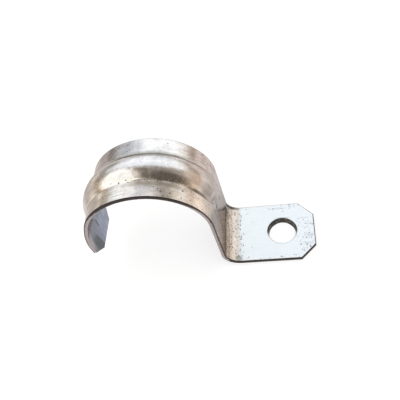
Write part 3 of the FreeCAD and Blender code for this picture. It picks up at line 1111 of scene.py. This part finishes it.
@dataclass(frozen=True)
class ZincCoat:
    """The bright zinc coat of both faces, with its tint, stains and pits, and with painted
    reflection, highlight and shade in its shades, its stains and its inner colour.

    Places and sizes are millimetres.  A noise is the size of its blotches, its detail and its
    roughness, and a span is where something starts and where it is full.
    """

    # The inner face's dark blue-grey is painted shade and reflection of the underside of the arch.
    inner: Colour = (0.21, 0.23, 0.28)
    pit: Colour = (0.13, 0.10, 0.09)
    scuff: Colour = (0.38, 0.42, 0.50)
    grazing: Colour = (0.72, 0.68, 0.66)
    near_border: Span = (-3.9, -2.9)
    far_border: Span = (2.7, 3.7)
    wander: Tuple[float, float, float] = (3.6, 2.7, 0.0)
    wander_noise: Noise = (1 / 0.45, 4.0, 0.6)
    wander_on_tab: float = 0.12
    wander_from: Span = (15.0, 21.0)
    waver: Noise = (1.3, 3.0, 0.6)
    blotch: Mottle = Mottle((2.4, 4.0, 0.62), 0.18, 0.10)
    grain: Mottle = Mottle((0.55, 4.0, 0.7), 0.20, 0.09)
    streak: Mottle = Mottle((1.0, 3.0, 0.6), 0.18, 0.10)
    streak_stretch: Tuple[float, float, float] = (0.16, 1.1, 1.0)
    mottle_on_tab: float = 0.1
    mottle_from: Span = (15.5, 19.0)
    dirt: Noise = (3.0, 2.0, 0.5)
    dirt_span: Span = (0.45, 0.8)
    densities: Span = (0.004, 0.12)
    pit_cells: Tuple[Span, Span] = ((0.62, 0.27), (0.36, 0.16))
    pits_from: Span = (14.5, 15.5)
    mark_strength: float = 0.8
    roughness: float = 0.17
    grain_roughness: float = 0.05
    mark_roughness: float = 0.4
    waves: Noise = (5.0, 1.0, 0.4)
    grain_height: float = 0.06
    mark_depth: float = 0.25
    relief: Span = (0.5, 0.12 * MM)
    stains_and_painted_light: Tuple[StainOrPaintedLight, ...] = (
        # The next nine are painted light on the rib: the dark ones along the creases and slopes are
        # painted shade and painted reflection, the pale and bright ones painted highlights.
        StainOrPaintedLight(48.0, -3.9, 5.4, 0.6, (0.27, 0.225, 0.17), 0.75),
        StainOrPaintedLight(51.0, 2.75, 9.0, 0.95, (0.42, 0.42, 0.39), 0.85, 0.4, 0.3),
        StainOrPaintedLight(58.5, 1.5, 3.4, 1.3, (0.34, 0.31, 0.28), 0.75),
        StainOrPaintedLight(62.0, -2.7, 2.4, 0.5, (0.85, 0.75, 0.68), 0.5),
        StainOrPaintedLight(41.6, 1.3, 2.4, 1.3, (0.46, 0.38, 0.34), 0.6),
        StainOrPaintedLight(42.0, -2.6, 2.6, 0.4, (1.0, 0.90, 0.78), 0.7),
        StainOrPaintedLight(33.7, -1.95, 1.8, 0.6, (0.82, 0.78, 0.75), 0.85),
        StainOrPaintedLight(48.5, -2.98, 8.0, 0.13, (1.0, 0.95, 0.84), 0.65, 0.5, 0.5),
        StainOrPaintedLight(62.5, -3.05, 3.5, 0.16, (0.98, 0.90, 0.68), 0.75, 0.5, 0.5),
        StainOrPaintedLight(38.0, 4.4, 1.3, 0.12, (0.22, 0.18, 0.16), 0.6, 0.7, 1.6),
        StainOrPaintedLight(34.6, 5.6, 1.6, 0.12, (0.22, 0.18, 0.16), 0.6, 0.7, 1.6),
        StainOrPaintedLight(24.6, -1.4, 2.6, 0.25, (0.30, 0.27, 0.25), 0.5, 0.9, 1.6),
        StainOrPaintedLight(27.6, -4.6, 2.4, 0.35, (0.34, 0.31, 0.29), 0.5, 0.9, 1.6),
        StainOrPaintedLight(30.6, -3.4, 1.8, 0.30, (0.30, 0.28, 0.26), 0.5, 0.9, 1.6),
        StainOrPaintedLight(55.2, -5.9, 1.6, 0.14, (0.40, 0.36, 0.34), 0.6, 0.7, 1.6),
        StainOrPaintedLight(49.6, -4.6, 2.0, 0.16, (0.42, 0.40, 0.42), 0.6, 0.7, 1.6),
        # The next three are painted: painted reflection darkening the riser's far half, and painted
        # shade along the bend's far rim.
        StainOrPaintedLight(27.6, 2.2, 3.4, 1.6, (0.27, 0.24, 0.23), 0.45, 0.9),
        StainOrPaintedLight(23.4, 5.2, 3.0, 2.2, (0.24, 0.21, 0.20), 0.45, 0.9),
        StainOrPaintedLight(19.5, 6.75, 2.8, 0.7, (0.07, 0.06, 0.055), 0.9, 0.4, 0.4),
        StainOrPaintedLight(7.0, 3.2, 1.5, 0.24, (0.30, 0.31, 0.33), 0.6, 0.7, 0.9),
        # The next five are painted: the end of the painted dark reflection on the rib's near slope,
        # painted shade in the near crease and at the rib's nose, and painted reflection on the
        # riser.
        StainOrPaintedLight(50.9, -2.0, 1.5, 0.85, (0.50, 0.44, 0.37), 0.65, 0.12, 0.3),
        StainOrPaintedLight(38.8, -3.25, 3.0, 0.30, (0.15, 0.11, 0.09), 0.85),
        StainOrPaintedLight(37.4, -2.0, 1.7, 1.0, (0.27, 0.23, 0.20), 0.65),
        StainOrPaintedLight(32.6, -0.6, 1.6, 0.9, (0.42, 0.42, 0.39), 0.5),
        StainOrPaintedLight(27.5, -1.2, 2.4, 0.9, (0.20, 0.17, 0.15), 0.6),
        StainOrPaintedLight(16.6, -6.2, 0.7, 0.6, (0.26, 0.27, 0.23), 0.7),
        # The next two are painted shade and reflection on the leg's inner face, paler on its flat
        # end and dark in its groove.
        StainOrPaintedLight(79.0, INNER_SIDE + 2.0, 3.4, 5.0, (0.32, 0.34, 0.42), 0.9, 0.35, 0.4),
        StainOrPaintedLight(78.9, INNER_SIDE - 5.3, 2.9, 2.1, (0.13, 0.145, 0.15), 0.85, 0.2, 0.3),
        StainOrPaintedLight(2.1, 3.0, 0.9, 0.16, (0.50, 0.56, 0.66), 0.4, 0.8, 2.0),
        StainOrPaintedLight(0.9, 1.3, 0.6, 0.14, (0.46, 0.52, 0.62), 0.4, 0.8, 2.0),
        StainOrPaintedLight(1.3, -1.4, 1.0, 0.6, (0.72, 0.77, 0.88), 0.7, 0.7, 0.9),
        StainOrPaintedLight(1.5, -3.4, 1.3, 0.20, (0.50, 0.56, 0.66), 0.5, 0.6, 1.2),
        StainOrPaintedLight(7.6, 5.9, 1.5, 0.16, (0.50, 0.56, 0.66), 0.5, 0.6, 1.0),
        # The next two are painted light on the leg's inner face: a paler grey band by its near rim
        # and a dark line of painted shade where the groove ends.
        StainOrPaintedLight(71.0, INNER_SIDE - 6.4, 7.0, 0.9, (0.42, 0.41, 0.42), 0.8, 0.3, 0.4),
        StainOrPaintedLight(76.3, INNER_SIDE - 0.9, 1.3, 0.22, (0.07, 0.07, 0.08), 0.8, 0.5, 0.6),
    )
    pit_fields: Tuple[PitField, ...] = (
        PitField(16.6, 0.0, 1.0, 7.5, 0.6),
        PitField(18.9, 0.0, 1.1, 7.5, 0.5),
        PitField(1.2, -2.0, 2.2, 4.5, 0.28),
        PitField(5.0, 6.3, 4.5, 0.7, 0.4),
        PitField(6.0, -6.4, 8.0, 0.5, 0.3),
        PitField(50.0, -3.2, 10.0, 0.35, 0.5),
        PitField(47.0, -5.0, 5.0, 1.8, 0.08),
        PitField(55.5, 5.0, 2.4, 2.0, 0.25),
        PitField(39.0, 5.0, 4.0, 2.4, 0.15),
        PitField(26.0, 0.0, 6.0, 6.0, 0.14),
        PitField(34.0, 5.4, 5.0, 1.6, 0.22),
        PitField(38.0, -5.0, 6.0, 1.8, 0.10),
    )


@dataclass(frozen=True)
class ShearedSteel:
    """The cut edge: a dark line under the outer face, and paler torn metal below it.

    Depths, heights and places across are millimetres.  The line is deeper over the crown and
    under the tab, and paler on the far side.  The hole's wall is streaked on its far side and
    rolled bright on its near side.
    """

    line: Colour = (0.06, 0.045, 0.04)
    far_line: Colour = (0.50, 0.45, 0.42)
    torn: Colour = (0.50, 0.43, 0.43)
    hole: Colour = (0.10, 0.095, 0.085)
    streak: Colour = (0.36, 0.34, 0.31)
    rolled: Colour = (0.85, 0.90, 0.94)
    blotch: Noise = (0.7, 4.0, 0.65)
    line_depth: float = 0.30
    deeper: float = 0.25
    crown_heights: Span = (20.0, 26.0)
    tab_heights: Span = (1.0, 2.0)
    ragged: float = 0.35
    torn_border: Span = (-0.08, 0.08)
    far_side: Span = (4.0, 6.5)
    rolled_side: Span = (-1.6, 0.2)
    streaks: Span = (0.48, 0.7)
    wall_from: float = 0.75 * HOLE_ROW / MM
    metallic: float = 0.8
    roughness: Span = (0.5, 0.7)
    roughness_span: Span = (0.3, 0.8)
    relief: Span = (0.6, 0.05 * MM)


class Finishes:
    """Makes the strap's materials, which share their groups."""

    def __init__(self, length: float) -> None:
        """Build the shared groups.

        Args:
            length: Length of the strip in metres.
        """
        self.length = length / MM
        self.patch = patch_group()
        self.pits = pits_group(PitShape())

    def start(self, name: str) -> Tuple[bpy.types.Material, Nodes, bpy.types.Node]:
        """Start a material with one Principled shader.

        Args:
            name: Name of the material.

        Returns:
            The material, its nodes and the shader.
        """
        material = bpy.data.materials.new(name)
        nodes = emptied(material)
        shader = nodes.add("ShaderNodeBsdfPrincipled", {})
        nodes.add("ShaderNodeOutputMaterial", {}, Surface=shader.outputs[0])
        return material, nodes, shader

    def group(self, nodes: Nodes, tree: bpy.types.NodeTree, **inputs: object) -> Socket:
        """Place a group with its own values and give its output."""
        return nodes.add("ShaderNodeGroup", {"node_tree": tree}, **inputs).outputs[0]

    def strip_place(self, nodes: Nodes, island: Island) -> Socket:
        """Give the place on the strip in millimetres: along it, and across an island.

        Args:
            nodes: The material's nodes.
            island: The surface from whose middle the place across is counted.

        Returns:
            The place.
        """
        uv = nodes.add("ShaderNodeUVMap", {"uv_map": "strip"})
        middle = nodes.vector("SUBTRACT", uv.outputs[0], (0.0, island.value, 0.0))
        return nodes.scaled(middle, MAP_SPAN / MM)

    def solid_place(self, nodes: Nodes) -> Socket:
        """Give the place in the solid, in millimetres."""
        place = nodes.add("ShaderNodeTexCoord", {})
        return nodes.scaled(place.outputs["Object"], 1 / MM)

    def shaded(self, nodes: Nodes, share: Socket, shades: Sequence[Shade]) -> Socket:
        """Give the colour of a row of shades.

        Args:
            nodes: The material's nodes.
            share: Place along the strip, as a share of its length.
            shades: The row.

        Returns:
            The colour, eased from each shade to the next.
        """
        ramp = nodes.add("ShaderNodeValToRGB", {}, Fac=share)
        ramp.color_ramp.interpolation = "EASE"
        stops = ramp.color_ramp.elements
        for shade in shades[2:]:
            stops.new(shade.along / self.length)
        for stop, shade in zip(stops, shades):
            stop.position = shade.along / self.length
            stop.color = (*shade.colour, 1.0)
        return ramp.outputs[0]

    def tarnish_and_painted_light(self, nodes: Nodes, place: Socket, solid: Socket, finish: ZincCoat) -> Socket:
        """Colour the outer face by three rows of shades, which hold the coat's tint together with
        painted reflection and painted shade, with wandering borders.

        Args:
            nodes: The material's nodes.
            place: Place on the strip.
            solid: Place in the solid.
            finish: The coat.

        Returns:
            The colour.
        """
        size, detail, roughness = finish.wander_noise
        push = nodes.drift(solid, 1 / size, detail, roughness)
        push = nodes.vector("MULTIPLY", push, finish.wander)
        loose = nodes.smooth(nodes.split(place)[0], finish.wander_from, (finish.wander_on_tab, 1.0))
        moved = nodes.vector("ADD", place, nodes.scaled(push, loose))
        along, across, _ = nodes.split(moved)
        share = nodes.math("DIVIDE", along, self.length)
        near, rib, far = (
            self.shaded(nodes, share, shades) for shades in (NEAR_TINT_AND_PAINTED_LIGHT, RIB_TINT_AND_PAINTED_LIGHT, FAR_TINT_AND_PAINTED_LIGHT)
        )
        colour = nodes.mix(nodes.smooth(across, finish.near_border), near, rib)
        return nodes.mix(nodes.smooth(across, finish.far_border), colour, far)

    def oval(
        self, nodes: Nodes, place: Socket, waver: Socket, mark: Union[StainOrPaintedLight, PitField]
    ) -> Socket:
        """Mask one oval place of the strip.

        Args:
            nodes: The material's nodes.
            place: Place on the strip.
            waver: Noise about zero, which moves the border.
            mark: The oval.

        Returns:
            The mask.
        """
        return self.group(
            nodes, self.patch, Place=place, Centre=(mark.along, mark.across, 0.0),
            Long=mark.long, Wide=mark.wide, Soft=mark.soft,
            Waver=nodes.math("MULTIPLY", waver, mark.waver),
        )

    def mottle(self, nodes: Nodes, place: Socket, kind: Mottle) -> Socket:
        """Give one kind of mottling, from -1 to 1."""
        span = (0.5 - kind.sharp, 0.5 + kind.sharp)
        return nodes.smooth(nodes.noise(place, *kind.noise), span, SWING)

    def marks(
        self, nodes: Nodes, place: Socket, solid: Socket, waver: Socket, finish: ZincCoat
    ) -> Socket:
        """Scatter two sizes of pits, which are dense in the pit fields.

        Args:
            nodes: The material's nodes.
            place: Place on the strip.
            solid: Place in the solid.
            waver: Noise about zero, which moves the fields' borders.
            finish: The coat.

        Returns:
            The mask of the pits.
        """
        density = nodes.smooth(nodes.noise(solid, *finish.dirt), finish.dirt_span, finish.densities)
        for zone in finish.pit_fields:
            mask = self.oval(nodes, place, waver, zone)
            density = nodes.math("MULTIPLY_ADD", mask, zone.density, density)
        sizes = (
            self.group(nodes, self.pits, Place=solid, Cell=cell, Size=size, Density=density)
            for cell, size in finish.pit_cells
        )
        return nodes.math("MAXIMUM", *sizes)

    def coat(self, finish: ZincCoat) -> bpy.types.Material:
        """Make the zinc coat.

        Args:
            finish: Its colours, stains, patches of painted light and pits.

        Returns:
            The material.
        """
        material, nodes, shader = self.start("zinc_coat")
        place = self.strip_place(nodes, Island.OUTER)
        solid = self.solid_place(nodes)
        along, across, _ = nodes.split(place)
        # The coat's tint with painted reflection, painted highlight and painted shade from the rows
        # of shades.
        colour = self.tarnish_and_painted_light(nodes, place, solid, finish)
        # The inner face takes a dark blue-grey: painted shade and reflection of the underside of the
        # arch.
        inside = nodes.math("GREATER_THAN", across, INNER_SIDE / 2)
        colour = nodes.mix(inside, colour, finish.inner)
        waver = nodes.math("SUBTRACT", nodes.noise(solid, *finish.waver), 0.5)
        # Lay stains and patches of painted reflection, painted highlight and painted shade over the
        # coat's colour.
        for stain_or_light in finish.stains_and_painted_light:
            mask = self.oval(nodes, place, waver, stain_or_light)
            colour = nodes.mix(nodes.math("MULTIPLY", mask, stain_or_light.strength), colour, stain_or_light.colour)
        grain = self.mottle(nodes, solid, finish.grain)
        stretched = nodes.vector("MULTIPLY", place, finish.streak_stretch)
        change = nodes.math("MULTIPLY", grain, finish.grain.amount)
        for where, kind in ((solid, finish.blotch), (stretched, finish.streak)):
            change = nodes.math("MULTIPLY_ADD", self.mottle(nodes, where, kind), kind.amount, change)
        worn = nodes.smooth(along, finish.mottle_from, (finish.mottle_on_tab, 1.0))
        change = nodes.math("MULTIPLY_ADD", change, worn, 1.0)
        colour = nodes.mix(1.0, colour, nodes.grey(change), "MULTIPLY")
        marks = self.marks(nodes, place, solid, waver, finish)
        dirt = nodes.mix(nodes.smooth(along, finish.pits_from), finish.scuff, finish.pit)
        colour = nodes.mix(nodes.math("MULTIPLY", marks, finish.mark_strength), colour, dirt)
        nodes.put(shader.inputs["Base Color"], colour)
        nodes.put(shader.inputs["Metallic"], 1.0)
        nodes.put(shader.inputs["Specular Tint"], finish.grazing)
        rough = nodes.math("MULTIPLY_ADD", grain, finish.grain_roughness, finish.roughness)
        rough = nodes.math("MULTIPLY_ADD", marks, finish.mark_roughness, rough)
        nodes.put(shader.inputs["Roughness"], rough)
        waves = nodes.noise(solid, *finish.waves)
        height = nodes.math("MULTIPLY_ADD", grain, finish.grain_height, waves)
        height = nodes.math("MULTIPLY_ADD", marks, -finish.mark_depth, height)
        nodes.relief(shader, height, *finish.relief)
        return material

    def cut(self, finish: ShearedSteel) -> bpy.types.Material:
        """Make the cut edge.

        Args:
            finish: Its colours and borders.

        Returns:
            The material.
        """
        material, nodes, shader = self.start("sheared_edge")
        solid = self.solid_place(nodes)
        _, across, height = nodes.split(solid)
        down = nodes.split(self.strip_place(nodes, Island.CUT))[1]
        blotch = nodes.noise(solid, *finish.blotch)
        over_crown = nodes.smooth(height, finish.crown_heights)
        under_tab = nodes.smooth(height, finish.tab_heights, FALL)
        deep = nodes.math("MAXIMUM", over_crown, under_tab)
        border = nodes.math("MULTIPLY_ADD", deep, finish.deeper, finish.line_depth)
        ragged = nodes.math("SUBTRACT", blotch, 0.5)
        ragged = nodes.math("MULTIPLY_ADD", ragged, finish.ragged, down)
        torn = nodes.smooth(nodes.math("SUBTRACT", ragged, border), finish.torn_border)
        line = nodes.mix(nodes.smooth(across, finish.far_side), finish.line, finish.far_line)
        colour = nodes.mix(torn, line, finish.torn)
        wall = nodes.mix(nodes.smooth(blotch, finish.streaks), finish.hole, finish.streak)
        wall = nodes.mix(nodes.smooth(across, finish.rolled_side), finish.rolled, wall)
        colour = nodes.mix(nodes.math("GREATER_THAN", down, finish.wall_from), colour, wall)
        rough = nodes.smooth(blotch, finish.roughness_span, finish.roughness)
        nodes.put(shader.inputs["Base Color"], colour)
        nodes.put(shader.inputs["Metallic"], finish.metallic)
        nodes.put(shader.inputs["Roughness"], rough)
        nodes.relief(shader, blotch, *finish.relief)
        return material


# ------------------------------------------------------------------------------------------
# The studio
# ------------------------------------------------------------------------------------------


@dataclass(frozen=True)
class SoftBox:
    """One soft area of the room's light: where it lies, how large it is and its colour.

    Azimuth 0 is +Y and 90 is +X.  The half sizes are angles.
    """

    azimuth: float
    elevation: float
    half_width: float
    half_height: float
    edge: float
    colour: Colour

    def axes(self) -> Tuple[Vector, Vector, Vector]:
        """Give the directions to its middle, to its side and to its top.

        Returns:
            Three unit vectors at right angles.
        """
        azimuth, elevation = math.radians(self.azimuth), math.radians(self.elevation)
        level = math.cos(elevation)
        middle = Vector((math.sin(azimuth) * level, math.cos(azimuth) * level, math.sin(elevation)))
        side = middle.cross(Vector((0, 0, 1))).normalized()
        return middle, side, side.cross(middle)


@dataclass
class Studio:
    """A pale floor, a soft room and the camera.

    The strap mirrors the room and its soft boxes, and the matt floor is lit by the sky.
    """

    room: Colour = (0.42, 0.37, 0.32)
    sky: Colour = (0.95, 0.95, 0.95)
    floor_colour: Colour = (0.55, 0.55, 0.55)
    floor_glow: float = 0.60
    floor_size: float = 3.0
    floor_gap: float = 0.02 * MM
    boxes: Tuple[SoftBox, ...] = (
        SoftBox(5, 8, 40, 16, 0.50, (0.66, 0.65, 0.63)),
        SoftBox(100, 8, 52, 26, 0.50, (0.78, 0.66, 0.56)),
        SoftBox(0, 41, 53, 31, 0.16, (1.0, 1.0, 1.0)),
        SoftBox(-178, 66, 34, 28, 0.25, (0.36, 0.31, 0.26)),
        SoftBox(146, 43, 36, 35, 0.38, (0.11, 0.09, 0.07)),
        SoftBox(-108, 41, 33, 29, 0.08, (1.25, 1.20, 1.08)),
    )
    camera_place: Tuple[float, float, float] = (0.0032558, -0.0586651, 0.0975193)
    right: Tuple[float, float, float] = (0.97964, 0.03721, -0.19727)
    up: Tuple[float, float, float] = (0.08253, 0.82115, 0.56472)
    forward: Tuple[float, float, float] = (-0.18300, 0.56950, -0.80136)
    lens: float = 45.651
    sensor: float = 36.0
    clip: Span = (0.001, 10.0)

    def add_camera(self) -> None:
        """Set the camera by its three directions."""
        data = bpy.data.cameras.new("view")
        data.lens = self.lens
        data.sensor_width = self.sensor
        data.clip_start, data.clip_end = self.clip
        camera = bpy.data.objects.new("view", data)
        back = -Vector(self.forward)
        turn = Matrix((self.right, self.up, tuple(back))).transposed().to_4x4()
        camera.matrix_world = Matrix.Translation(self.camera_place) @ turn
        bpy.context.scene.collection.objects.link(camera)
        bpy.context.scene.camera = camera

    def box_mask(self, nodes: Nodes, direction: Socket, box: SoftBox) -> Socket:
        """Give how much of a soft box lies in a direction of the room.

        Args:
            nodes: The room's nodes.
            direction: Unit direction.
            box: The soft box.

        Returns:
            The mask: with x and y the direction's parts to the side and to the top, as shares
            of the half sizes, it falls from 1 to 0 as sqrt(x x + y y) passes 1.
        """
        middle, side, top = box.axes()
        wide = side / math.sin(math.radians(box.half_width))
        high = top / math.sin(math.radians(box.half_height))
        front, over, up = (nodes.dot(direction, tuple(axis)) for axis in (middle, wide, high))
        squares = nodes.math("MULTIPLY_ADD", up, up, nodes.math("MULTIPLY", over, over))
        mask = nodes.smooth(nodes.math("SQRT", squares), (1 - box.edge, 1 + box.edge), FALL)
        return nodes.math("MULTIPLY", mask, nodes.math("GREATER_THAN", front, 0.0))

    def add_room(self) -> None:
        """Light the strap by the room: a pale shade with soft boxes, white behind the strap."""
        world = bpy.data.worlds.new("room")
        nodes = emptied(world)
        direction = nodes.add("ShaderNodeTexCoord", {}).outputs["Generated"]
        colour = self.room
        for box in self.boxes:
            colour = nodes.mix(self.box_mask(nodes, direction, box), colour, box.colour)
        path = nodes.add("ShaderNodeLightPath", {})
        colour = nodes.mix(path.outputs["Is Diffuse Ray"], colour, self.sky)
        light = nodes.add("ShaderNodeBackground", {}, Color=colour)
        white = nodes.add("ShaderNodeBackground", {}, Color=WHITE)
        both = nodes.add("ShaderNodeMixShader", {}, Fac=path.outputs["Is Camera Ray"])
        nodes.put(both.inputs[1], light.outputs[0])
        nodes.put(both.inputs[2], white.outputs[0])
        nodes.add("ShaderNodeOutputWorld", {}, Surface=both.outputs[0])
        bpy.context.scene.world = world

    def add_floor(self, height: float) -> None:
        """Lay a wide pale floor, which keeps the strap's soft shadow.

        Args:
            height: Height of the strap's lowest point.
        """
        mesh = bpy.data.meshes.new("floor")
        half = self.floor_size / 2
        level = height - self.floor_gap
        points = [(x * half, y * half, level) for x, y in ((-1, -1), (1, -1), (1, 1), (-1, 1))]
        mesh.from_pydata(points, [], [(0, 1, 2, 3)])
        floor = bpy.data.objects.new("floor", mesh)
        bpy.context.scene.collection.objects.link(floor)
        material = bpy.data.materials.new("pale_floor")
        nodes = emptied(material)
        path = nodes.add("ShaderNodeLightPath", {})
        shown = nodes.math("MAXIMUM", path.outputs["Is Camera Ray"], path.outputs["Is Glossy Ray"])
        shown = nodes.math("MAXIMUM", shown, path.outputs["Is Transmission Ray"])
        matt = nodes.add("ShaderNodeBsdfDiffuse", {}, Color=self.floor_colour)
        strength = nodes.math("MULTIPLY", shown, self.floor_glow)
        glow = nodes.add("ShaderNodeEmission", {}, Color=WHITE, Strength=strength)
        both = nodes.add("ShaderNodeAddShader", {})
        nodes.put(both.inputs[0], matt.outputs[0])
        nodes.put(both.inputs[1], glow.outputs[0])
        nodes.add("ShaderNodeOutputMaterial", {}, Surface=both.outputs[0])
        mesh.materials.append(material)
        floor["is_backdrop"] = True

    def build(self, height: float) -> None:
        """Set up camera, room, floor and view.

        Args:
            height: Height of the strap's lowest point.
        """
        self.add_camera()
        self.add_room()
        self.add_floor(height)
        bpy.context.scene.view_settings.view_transform = "Standard"


def corners(box: Sequence[Vector]) -> List[List[float]]:
    """Give the two corners of a box as plain lists of numbers."""
    return [[float(value) for value in corner] for corner in box]


def main() -> None:
    """Build the strap, dress it, and set up the studio."""
    logging.basicConfig(level=logging.INFO, format="%(name)s: %(message)s")
    solid_box = corners(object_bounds())
    shape = ConduitStrap()
    strap = shape.build()
    finishes = Finishes(shape.profile.length)
    strap.data.materials.append(finishes.coat(ZincCoat()))
    strap.data.materials.append(finishes.cut(ShearedSteel()))
    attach(strap, "root")
    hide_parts("conduit_strap")
    Studio().build(solid_box[0][2])
    LOG.info("sizes written")


if __name__ == "__main__":
    main()
